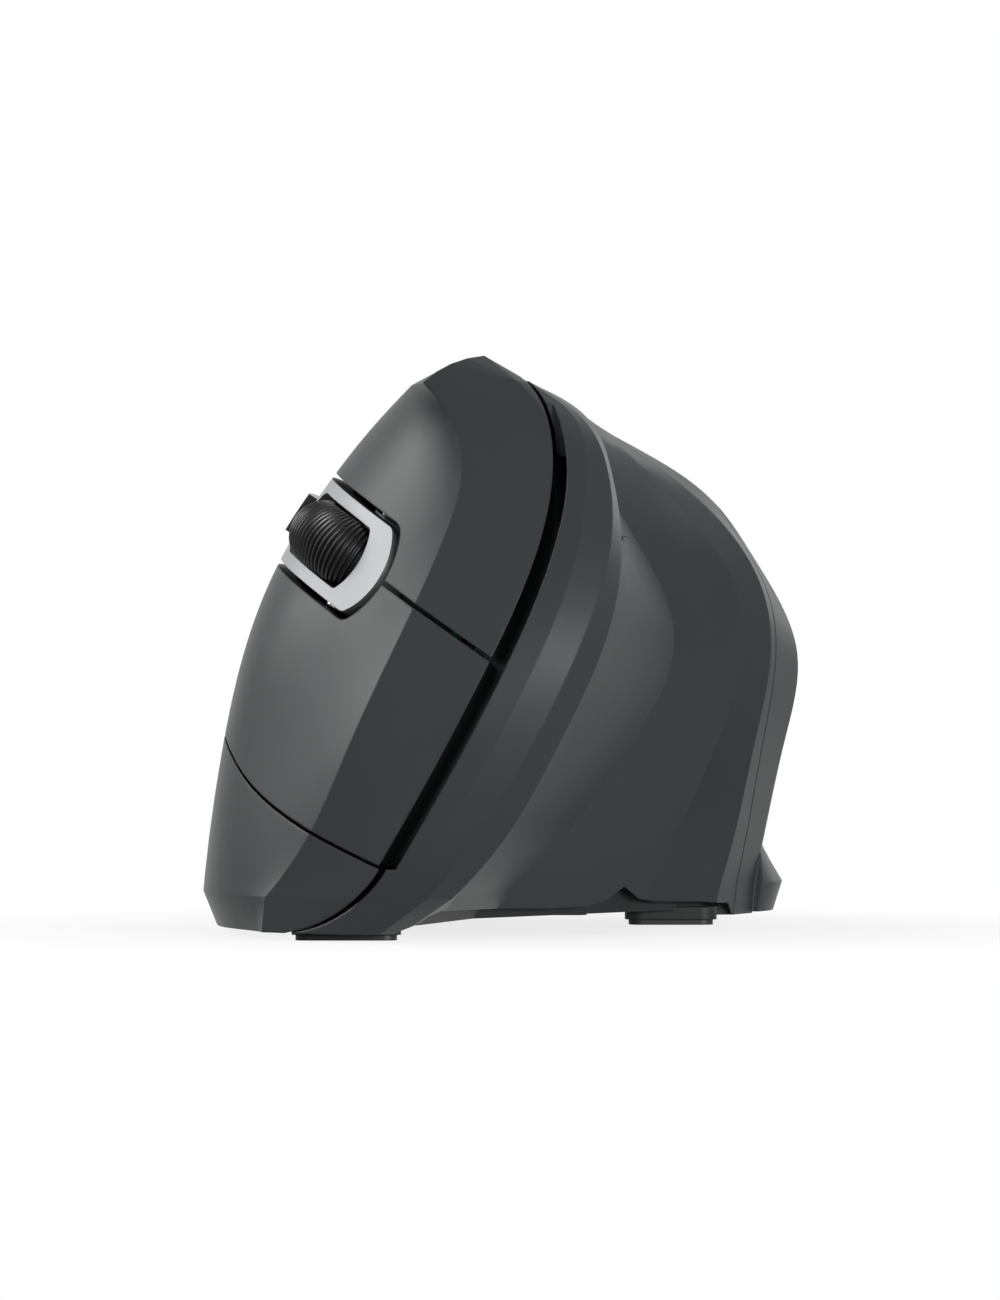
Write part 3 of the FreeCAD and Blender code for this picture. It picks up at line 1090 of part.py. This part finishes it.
def build_receiver():
    rx, ry = size("receiver_x"), size("receiver_y")
    w, l, h = size("receiver_width") / 2, size("receiver_length") / 2, size("receiver_height")
    bottom = size("base_bottom")
    cap = cuboid(rx - w, rx + w, ry - l, ry - l + 6.6, bottom, bottom + h)
    cap = cap.makeFillet(1.0, [e for e in cap.Edges if e.BoundBox.YLength > 1.0])
    node(solid("receiver_cap", cap), "receiver_shell")
    plug = cuboid(rx - 6.0, rx + 6.0, ry - l + 6.6, ry + l, bottom + 0.8, bottom + 5.3)
    hollow = cuboid(rx - 5.6, rx + 5.6, ry - l + 8.0, ry + l + 1.0, bottom + 3.1, bottom + 4.9)
    node(solid("receiver_plug_body", plug.cut(hollow)), "receiver_plug")


build_casing()
build_base()
build_glides()
build_screws()
build_wheel()
build_cradle()
build_deck()
build_side_board()
build_electrics()
build_battery()
build_receiver()
doc.recompute()

for item in doc.Objects:
    if "Invalid" in item.State or "Error" in item.State:
        raise RuntimeError("%s failed: %s" % (item.Name, item.State))
labels = [item.Label for item in NODES]
if len(set(labels)) != len(labels):
    raise RuntimeError("two sub-parts share a name")
for item in NODES:
    if item.Shape.isNull() or not item.Shape.isValid():
        raise RuntimeError("%s has no valid shape" % item.Label)

os.makedirs("parts", exist_ok=True)
for item in NODES:
    item.Shape.exportStep(os.path.join("parts", item.Label + ".step"))
    print("%-24s %7.1f mm3, %d solids" % (item.Label, item.Shape.Volume, len(item.Shape.Solids)))
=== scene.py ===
import bmesh
import bpy
import json
import math
from mathutils import Matrix, Vector


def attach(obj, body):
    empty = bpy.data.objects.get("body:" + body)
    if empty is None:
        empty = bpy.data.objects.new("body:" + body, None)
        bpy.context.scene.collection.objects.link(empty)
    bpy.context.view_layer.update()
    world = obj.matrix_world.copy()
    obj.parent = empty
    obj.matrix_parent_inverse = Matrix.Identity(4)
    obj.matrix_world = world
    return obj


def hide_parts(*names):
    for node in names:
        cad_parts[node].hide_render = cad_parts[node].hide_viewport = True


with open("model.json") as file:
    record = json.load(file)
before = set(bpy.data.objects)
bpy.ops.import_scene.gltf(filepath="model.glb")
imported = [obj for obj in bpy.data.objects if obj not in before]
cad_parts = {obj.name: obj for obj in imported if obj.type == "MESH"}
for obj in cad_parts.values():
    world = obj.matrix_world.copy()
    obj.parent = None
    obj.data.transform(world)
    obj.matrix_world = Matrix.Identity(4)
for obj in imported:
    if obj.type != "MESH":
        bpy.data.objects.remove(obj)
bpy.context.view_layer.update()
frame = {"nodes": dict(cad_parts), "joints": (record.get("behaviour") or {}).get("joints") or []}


# Studio: the mouse stands on a white sweep, seen from a metre away at half its height.
# The large soft box beside the finger side gives the broad facet its sheen, and the low
# one in front does so for the rim and scoop; facets that mirror neither stay dark.
camera = bpy.data.objects.new("camera", bpy.data.cameras.new("camera"))
bpy.context.scene.collection.objects.link(camera)
bpy.context.scene.camera = camera
# It looks level, a metre away, at a point just off the middle of the mouse's box.
aim_x, aim_y = -0.00095, -0.00023
camera_distance = 1.0
camera_height = 0.0366
camera.location = (aim_x, aim_y - camera_distance, camera_height)
camera.rotation_euler = (math.radians(90), 0.0, 0.0)
camera.data.sensor_fit = "HORIZONTAL"
camera.data.sensor_width = 36.0
camera.data.lens = 273.6
camera.data.clip_start = 0.01
bpy.context.scene.view_settings.view_transform = "Standard"


def colour(hex_value):
    """An sRGB hex value as the linear colour that shaders take."""
    channels = [int(hex_value[i:i + 2], 16) / 255 for i in (1, 3, 5)]
    linear = [c / 12.92 if c <= 0.04045 else ((c + 0.055) / 1.055) ** 2.4 for c in channels]
    return (*linear, 1.0)


def add_node(tree, kind, settings=None, **inputs):
    """Add a node with its settings; each input is a value or the socket that feeds it.

    An input is named as its socket is, or by its number, as _6, where sockets share a name.
    """
    node = tree.nodes.new(kind)
    for name, value in (settings or {}).items():
        setattr(node, name, value)
    for name, value in inputs.items():
        by_number = name[1:].isdigit()
        socket = node.inputs[int(name[1:]) if by_number else name.replace("_", " ")]
        if isinstance(value, bpy.types.NodeSocket):
            tree.links.new(value, socket)
        else:
            socket.default_value = value
    return node


def soft_box(name, spot, size, watts):
    """Rectangular lamp that faces the middle of the mouse."""
    middle = Vector((0.0, 0.0, 0.035))
    lamp = bpy.data.lights.new(name, "AREA")
    lamp.shape = "RECTANGLE"
    lamp.size, lamp.size_y = size
    lamp.energy = watts
    box = bpy.data.objects.new(name, lamp)
    box.location = spot
    box.rotation_euler = (middle - Vector(spot)).to_track_quat("-Z", "Y").to_euler()
    bpy.context.scene.collection.objects.link(box)


soft_box("finger_side_box", spot=(-0.78, 0.30, 0.52), size=(0.45, 0.45), watts=8.4)
soft_box("thumb_side_box", spot=(0.62, 0.72, 0.30), size=(0.5, 0.35), watts=0.8)
soft_box("front_low_box", spot=(0.50, -0.85, 0.12), size=(0.4, 0.2), watts=13.0)
soft_box("front_high_box", spot=(-0.36, -0.85, 0.42), size=(0.25, 0.25), watts=3.4)
soft_box("overhead_box", spot=(0.10, 0.15, 0.95), size=(0.5, 0.5), watts=2.5)


def looked_at(tree):
    """1 for rays from the camera and for those that gloss or glass sends on, else 0."""
    ray = add_node(tree, "ShaderNodeLightPath")
    sent_on = add_node(tree, "ShaderNodeMath", {"operation": "MAXIMUM"},
                       _0=ray.outputs["Is Glossy Ray"], _1=ray.outputs["Is Transmission Ray"])
    seen = add_node(tree, "ShaderNodeMath", {"operation": "MAXIMUM"},
                    _0=ray.outputs["Is Camera Ray"], _1=sent_on.outputs["Value"])
    return seen.outputs["Value"]


world = bpy.data.worlds.new("white_room")
bpy.context.scene.world = world
world.use_nodes = True
room = world.node_tree
room_light, room_white = 0.10, 1.0
level = add_node(room, "ShaderNodeMapRange", Value=looked_at(room),
                 To_Min=room_light, To_Max=room_white)
room.links.new(level.outputs["Result"], room.nodes["Background"].inputs["Strength"])
room.nodes["Background"].inputs["Color"].default_value = (1.0, 1.0, 1.0, 1.0)

sweep_mesh = bmesh.new()
bmesh.ops.create_circle(sweep_mesh, cap_ends=True, segments=96, radius=1.2)
sweep_data = bpy.data.meshes.new("sweep")
sweep_mesh.to_mesh(sweep_data)
sweep = bpy.data.objects.new("sweep", sweep_data)
bpy.context.scene.collection.objects.link(sweep)
white_sweep = bpy.data.materials.new("white_painted_sweep")
white_sweep.use_nodes = True
paint = white_sweep.node_tree
matt = paint.nodes["Principled BSDF"]
matt.inputs["Base Color"].default_value = colour("#b4b4b4")
matt.inputs["Roughness"].default_value = 0.9
matt.inputs["Specular IOR Level"].default_value = 0.1
# Where it is looked at, the sweep is white but for the mouse's shadow, which fades out
# between these two distances from the middle of the mouse.
shadow_full, shadow_gone = 0.02, 0.09
white_least, white_most = 0.8, 1.0
bright = add_node(paint, "ShaderNodeEmission", Color=(1.0, 1.0, 1.0, 1.0))
floor_place = add_node(paint, "ShaderNodeTexCoord")
far = add_node(paint, "ShaderNodeVectorMath", {"operation": "LENGTH"},
               _0=floor_place.outputs["Object"])
lit = add_node(paint, "ShaderNodeMapRange", Value=far.outputs["Value"],
               From_Min=shadow_full, From_Max=shadow_gone, To_Min=white_least, To_Max=white_most)
share = add_node(paint, "ShaderNodeMath", {"operation": "MULTIPLY"},
                 _0=looked_at(paint), _1=lit.outputs["Result"])
ground = add_node(paint, "ShaderNodeMixShader", _0=share.outputs["Value"],
                  _1=matt.outputs["BSDF"], _2=bright.outputs["Emission"])
paint.links.new(ground.outputs["Shader"], paint.nodes["Material Output"].inputs["Surface"])
sweep_data.materials.append(white_sweep)


# Casing mouldings: both main buttons, the thumb-side rim and scoop, and the palm.
# Charcoal ABS, injection moulded in spark-eroded tools, which leaves a very fine grain.
# Its tone and gloss drift a little over patches about as wide as a finger.
noise_low, noise_high = 0.3, 0.7    # nearly all of a noise's values lie between these


def moulded(name, tone, worn_tone, grain_mm, roughness, edge_mm=0.3, bump=0.12, shine=0.5):
    """Moulded plastic: grain as a bump, a slow change of tone and gloss, softened edges."""
    patch_mm = 1000 / 45    # about 22 mm
    grain_depth = 0.00004
    glossier, duller = 0.03, 0.04
    material = bpy.data.materials.new(name)
    material.use_nodes = True
    tree = material.node_tree
    shader = tree.nodes["Principled BSDF"]
    place = add_node(tree, "ShaderNodeTexCoord")
    patches = add_node(tree, "ShaderNodeTexNoise", Vector=place.outputs["Object"],
                       Scale=1000.0 / patch_mm, Detail=3.0)
    tint = add_node(tree, "ShaderNodeMix", {"data_type": "RGBA"}, _0=patches.outputs["Fac"],
                    _6=colour(tone), _7=colour(worn_tone))
    tree.links.new(tint.outputs[2], shader.inputs["Base Color"])
    gloss = add_node(tree, "ShaderNodeMapRange", Value=patches.outputs["Fac"],
                     From_Min=noise_low, From_Max=noise_high,
                     To_Min=roughness - glossier, To_Max=roughness + duller)
    tree.links.new(gloss.outputs["Result"], shader.inputs["Roughness"])
    edge = add_node(tree, "ShaderNodeBevel", {"samples": 6}, Radius=edge_mm / 1000)
    grain = add_node(tree, "ShaderNodeTexNoise", Vector=place.outputs["Object"],
                     Scale=1000.0 / grain_mm, Detail=1.0)
    relief = add_node(tree, "ShaderNodeBump", Strength=bump, Distance=grain_depth,
                      Height=grain.outputs["Fac"], Normal=edge.outputs["Normal"])
    tree.links.new(relief.outputs["Normal"], shader.inputs["Normal"])
    shader.inputs["IOR"].default_value = 1.53
    shader.inputs["Specular IOR Level"].default_value = shine
    return material


def dress(material, *names):
    """Give CAD nodes their material."""
    for name in names:
        for holder in frame["nodes"][name].material_slots:
            holder.material = material


charcoal_abs = moulded("charcoal_abs_spark_eroded", "#242627", "#2b2d2e", grain_mm=0.35,
                       roughness=0.38, edge_mm=0.4, shine=0.07)
dress(charcoal_abs, "left_button", "right_button", "thumb_shell", "palm_shell")


# Underside: the base plate and the battery door are the same ABS from a plainer tool,
# darker and more matt. Five screws hold the plate.
black_abs = moulded("black_abs_textured", "#151617", "#1b1c1d", grain_mm=0.5,
                    roughness=0.55, bump=0.25, shine=0.15)
dress(black_abs, "base_plate", "battery_door")


# Wheel surround: black ABS whose face is sprayed with satin silver lacquer. The mask lets
# the silver lie only on what faces the way the face does; the side walls of the rim and of
# the wheel's slot are coloured near black as painted shade for the gaps there.
satin_silver = moulded("satin_silver_lacquer_with_painted_wall_shade", "#6b6d6f", "#757779", grain_mm=0.18,
                       roughness=0.5, edge_mm=0.15, bump=0.05)
face_direction = (-0.84, 0.0, 0.543)
painted_shade_ends, silver_full = 0.5, 0.6    # cosines of the angle to that direction
lacquer = satin_silver.node_tree
lacquer_shader = lacquer.nodes["Principled BSDF"]
lacquer_shader.inputs["Metallic"].default_value = 0.15
surface = add_node(lacquer, "ShaderNodeNewGeometry")
facing = add_node(lacquer, "ShaderNodeVectorMath", {"operation": "DOT_PRODUCT"},
                  _0=surface.outputs["True Normal"], _1=face_direction)
silver_versus_painted_shade = add_node(lacquer, "ShaderNodeMapRange", Value=facing.outputs["Value"],
                   From_Min=painted_shade_ends, From_Max=silver_full)
silver = lacquer_shader.inputs["Base Color"].links[0].from_socket
# The near-black that the side walls get here is painted shade for the gaps.
silver_and_painted_shade = add_node(lacquer, "ShaderNodeMix", {"data_type": "RGBA"}, _0=silver_versus_painted_shade.outputs["Result"],
                _6=colour("#101112"), _7=silver)
lacquer.links.new(silver_and_painted_shade.outputs[2], lacquer_shader.inputs["Base Color"])
dress(satin_silver, "wheel_surround")


# Wheel tyre: black silicone rubber moulded in one piece, barrel-shaped, with fine
# rounded ribs across it. It is stretched over the hub and turns with it.
spin = [joint for joint in frame["joints"] if joint["name"] == "wheel_spin"][0]
wheel_axis = Vector(spin["axis"]).normalized()
wheel_centre = Vector(spin["pos_m"])
tyre_radius = 0.0106
tyre_half_width = 0.0042
tyre_crown = 0.0023
tyre_bore = 0.00725
swell_radius = (tyre_half_width ** 2 + tyre_crown ** 2) / (2 * tyre_crown)
rib_count = 84
rib_depth = 0.00055
rib_shape = (0.0, 0.04, 0.42, 0.86, 1.0, 0.86, 0.42, 0.04)    # height over one rib
rib_end_loss, rib_end_power = 0.5, 6    # the ribs run down to half height at both ends
rows_across = 16

# A flat strip of unit size is rolled up into the ribbed barrel.
tyre = bmesh.new()
around = rib_count * len(rib_shape)
bmesh.ops.create_grid(tyre, x_segments=rows_across, y_segments=around, size=0.5)
for vert in tyre.verts:
    across = vert.co.x * 2.0
    step = round((vert.co.y + 0.5) * around)
    x = tyre_half_width * across
    skin = tyre_radius - swell_radius + math.sqrt(swell_radius ** 2 - x ** 2)
    fade = 1.0 - rib_end_loss * abs(across) ** rib_end_power
    radius = skin - rib_depth * (1.0 - rib_shape[step % len(rib_shape)] * fade)
    angle = 2 * math.pi * step / around
    vert.co = (x, radius * math.cos(angle), radius * math.sin(angle))
bmesh.ops.remove_doubles(tyre, verts=tyre.verts, dist=1e-6)

# Each open end turns in over a rounded shoulder, then down to the bore, where the two
# ends are joined.
shoulder_radius, shoulder_spread = 0.94, 1.005
bore_spread = 0.96
for inward, spread in ((shoulder_radius, shoulder_spread), (None, bore_spread)):
    rim = [edge for edge in tyre.edges if edge.is_boundary]
    grown = bmesh.ops.extrude_edge_only(tyre, edges=rim)
    for vert in [item for item in grown["geom"] if isinstance(item, bmesh.types.BMVert)]:
        radius = math.hypot(vert.co.y, vert.co.z)
        target = radius * inward if inward else tyre_bore
        vert.co.y *= target / radius
        vert.co.z *= target / radius
        vert.co.x *= spread
bore = [edge for edge in tyre.edges if edge.is_boundary]
bmesh.ops.bridge_loops(tyre, edges=bore)
bmesh.ops.recalc_face_normals(tyre, faces=tyre.faces)
turn = wheel_axis.to_track_quat("X", "Z").to_matrix().to_4x4()
tyre.transform(Matrix.Translation(wheel_centre) @ turn)
for face in tyre.faces:
    face.smooth = True
tyre_data = bpy.data.meshes.new("ribbed_tyre")
tyre.to_mesh(tyre_data)
ribbed_tyre = bpy.data.objects.new("ribbed_tyre", tyre_data)
bpy.context.scene.collection.objects.link(ribbed_tyre)
silicone = moulded("black_silicone_rubber", "#040405", "#080809", grain_mm=0.3,
                   roughness=0.32, edge_mm=0.03, bump=0.1, shine=0.25)
tyre_data.materials.append(silicone)
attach(ribbed_tyre, "wheel")
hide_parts("scroll_tyre")


# Resolution button, both thumb buttons, power slider and receiver: black ABS from
# polished tools, so that it shines. Each button is a loose cap over its own push switch.
gloss_abs = moulded("black_abs_polished", "#0f1011", "#131415", grain_mm=0.8,
                    roughness=0.22, bump=0.02, shine=0.3)
dress(gloss_abs, "dpi_button", "forward_button", "back_button", "power_slider",
      "receiver_shell")


# Glides: black low-friction film, die cut and glued under the feet of the casing. It is
# matt and slightly roughened by the table.
glide_film = moulded("black_ptfe_film", "#131415", "#1b1c1d", grain_mm=0.25,
                     roughness=0.5, edge_mm=0.2, bump=0.3, shine=0.2)
dress(glide_film, "front_glide", "thumb_glide", "heel_glide", "finger_glide")


# Inner mouldings: hub, cradle and board bracket in grey ABS. They are out of sight, so
# the tool's marks are left in them.
grey_abs = moulded("grey_abs_inner", "#43474a", "#4c5053", grain_mm=0.6,
                   roughness=0.5, bump=0.2)
dress(grey_abs, "scroll_hub", "wheel_cradle", "board_bracket")


# Switch, encoder, sensor and chip bodies: black glass-filled polyester, moulded hard and
# a little shiny.
black_pbt = moulded("black_pbt_moulded", "#141516", "#1b1c1d", grain_mm=0.4,
                    roughness=0.4, bump=0.15)
dress(black_pbt, "left_switch", "right_switch", "middle_switch", "dpi_switch",
      "forward_switch", "back_switch", "power_switch", "scroll_encoder", "optical_sensor",
      "radio_chip")


# Switch plungers and the board connector: natural white nylon, moulded, slightly waxy
# because light goes a millimetre into it.
white_nylon = moulded("white_nylon_moulded", "#d8d5cc", "#e2dfd6", grain_mm=0.5,
                      roughness=0.45, bump=0.1)
nylon_shader = white_nylon.node_tree.nodes["Principled BSDF"]
nylon_shader.inputs["Subsurface Weight"].default_value = 0.1
nylon_shader.inputs["Subsurface Radius"].default_value = (0.001, 0.001, 0.0008)
dress(white_nylon, "left_switch_plunger", "right_switch_plunger", "middle_switch_plunger",
      "dpi_switch_plunger", "forward_switch_plunger", "back_switch_plunger",
      "board_connector")


# Pins, screws, springs and contacts: zinc-plated or nickel-plated steel. Drawing and
# turning leave fine lines, which stretch the highlight.
def plated(name, tone, roughness, line_mm):
    """Plated metal with fine drawn lines in its gloss and relief."""
    line_stretch = 0.12
    line_depth = 0.00002
    glossier, duller = 0.08, 0.1
    material = bpy.data.materials.new(name)
    material.use_nodes = True
    tree = material.node_tree
    shader = tree.nodes["Principled BSDF"]
    shader.inputs["Base Color"].default_value = colour(tone)
    shader.inputs["Metallic"].default_value = 1.0
    place = add_node(tree, "ShaderNodeTexCoord")
    drawn = add_node(tree, "ShaderNodeMapping", Vector=place.outputs["Object"],
                     Scale=(1.0, line_stretch, 1.0))
    lines = add_node(tree, "ShaderNodeTexNoise", Vector=drawn.outputs["Vector"],
                     Scale=1000.0 / line_mm, Detail=2.0)
    gloss = add_node(tree, "ShaderNodeMapRange", Value=lines.outputs["Fac"],
                     From_Min=noise_low, From_Max=noise_high,
                     To_Min=roughness - glossier, To_Max=roughness + duller)
    tree.links.new(gloss.outputs["Result"], shader.inputs["Roughness"])
    relief = add_node(tree, "ShaderNodeBump", Strength=0.15, Distance=line_depth,
                      Height=lines.outputs["Fac"])
    tree.links.new(relief.outputs["Normal"], shader.inputs["Normal"])
    return material


zinc_plate = plated("steel_zinc_plated", "#b8babc", roughness=0.32, line_mm=0.2)
nickel_plate = plated("steel_nickel_plated", "#cfccc4", roughness=0.24, line_mm=0.15)
dress(zinc_plate, "base_screws", "scroll_axle", "cradle_pin", "button_pivot_pin",
      "cradle_spring")
dress(nickel_plate, "positive_contact", "negative_contact", "receiver_plug", "crystal_can")


# Circuit boards: glass-epoxy sheet under green solder mask, with the copper tracks
# showing as slightly lighter lines between fields a few millimetres long.
field_length, field_width = 0.0048, 0.0013
track_width = 0.00018
track_relief = 0.00003
solder_mask = bpy.data.materials.new("glass_epoxy_board_green_mask")
solder_mask.use_nodes = True
board_tree = solder_mask.node_tree
board_shader = board_tree.nodes["Principled BSDF"]
board_place = add_node(board_tree, "ShaderNodeTexCoord")
tracks = add_node(board_tree, "ShaderNodeTexBrick",
                  {"offset": 0.37, "squash": 0.6, "squash_frequency": 3},
                  Vector=board_place.outputs["Object"], Scale=1.0,
                  Color1=colour("#0d4a2b"), Color2=colour("#12512f"),
                  Mortar=colour("#2a7a4c"), Mortar_Size=track_width,
                  Brick_Width=field_length, Row_Height=field_width)
board_tree.links.new(tracks.outputs["Color"], board_shader.inputs["Base Color"])
board_relief = add_node(board_tree, "ShaderNodeBump", Strength=0.3, Distance=track_relief,
                        Height=tracks.outputs["Fac"])
board_tree.links.new(board_relief.outputs["Normal"], board_shader.inputs["Normal"])
board_shader.inputs["Roughness"].default_value = 0.28
board_shader.inputs["IOR"].default_value = 1.55
dress(solder_mask, "button_board", "side_board", "main_board")


# Sensor lens: clear polycarbonate, moulded and polished where the light passes, so it
# looks like glass with a soft rim.
clear_pc = moulded("clear_polycarbonate_lens", "#e9f1f4", "#f1f6f8", grain_mm=0.9,
                   roughness=0.08, edge_mm=0.1, bump=0.01)
lens_shader = clear_pc.node_tree.nodes["Principled BSDF"]
lens_shader.inputs["Transmission Weight"].default_value = 0.9
lens_shader.inputs["IOR"].default_value = 1.58
dress(clear_pc, "sensor_lens")


# Battery: a steel can in plain shrink wrap, blue-grey, with a copper-coloured band at the
# plus end. The wrap is shiny and lies in faint creases.
band_start_y = 0.034
crease_mm = 6.25
crease_depth = 0.0002
wrap = bpy.data.materials.new("pvc_shrink_wrap")
wrap.use_nodes = True
wrap_tree = wrap.node_tree
wrap_shader = wrap_tree.nodes["Principled BSDF"]
wrap_place = add_node(wrap_tree, "ShaderNodeTexCoord")
along = add_node(wrap_tree, "ShaderNodeSeparateXYZ", Vector=wrap_place.outputs["Object"])
band = add_node(wrap_tree, "ShaderNodeMath", {"operation": "GREATER_THAN"},
                _0=along.outputs["Y"], _1=band_start_y)
wrap_tint = add_node(wrap_tree, "ShaderNodeMix", {"data_type": "RGBA"},
                     _0=band.outputs["Value"], _6=colour("#3b4754"), _7=colour("#b98a4e"))
wrap_tree.links.new(wrap_tint.outputs[2], wrap_shader.inputs["Base Color"])
creases = add_node(wrap_tree, "ShaderNodeTexNoise", Vector=wrap_place.outputs["Object"],
                   Scale=1000.0 / crease_mm, Detail=2.0)
wrap_relief = add_node(wrap_tree, "ShaderNodeBump", Strength=0.1, Distance=crease_depth,
                       Height=creases.outputs["Fac"])
wrap_tree.links.new(wrap_relief.outputs["Normal"], wrap_shader.inputs["Normal"])
wrap_shader.inputs["Roughness"].default_value = 0.25
dress(wrap, "battery")
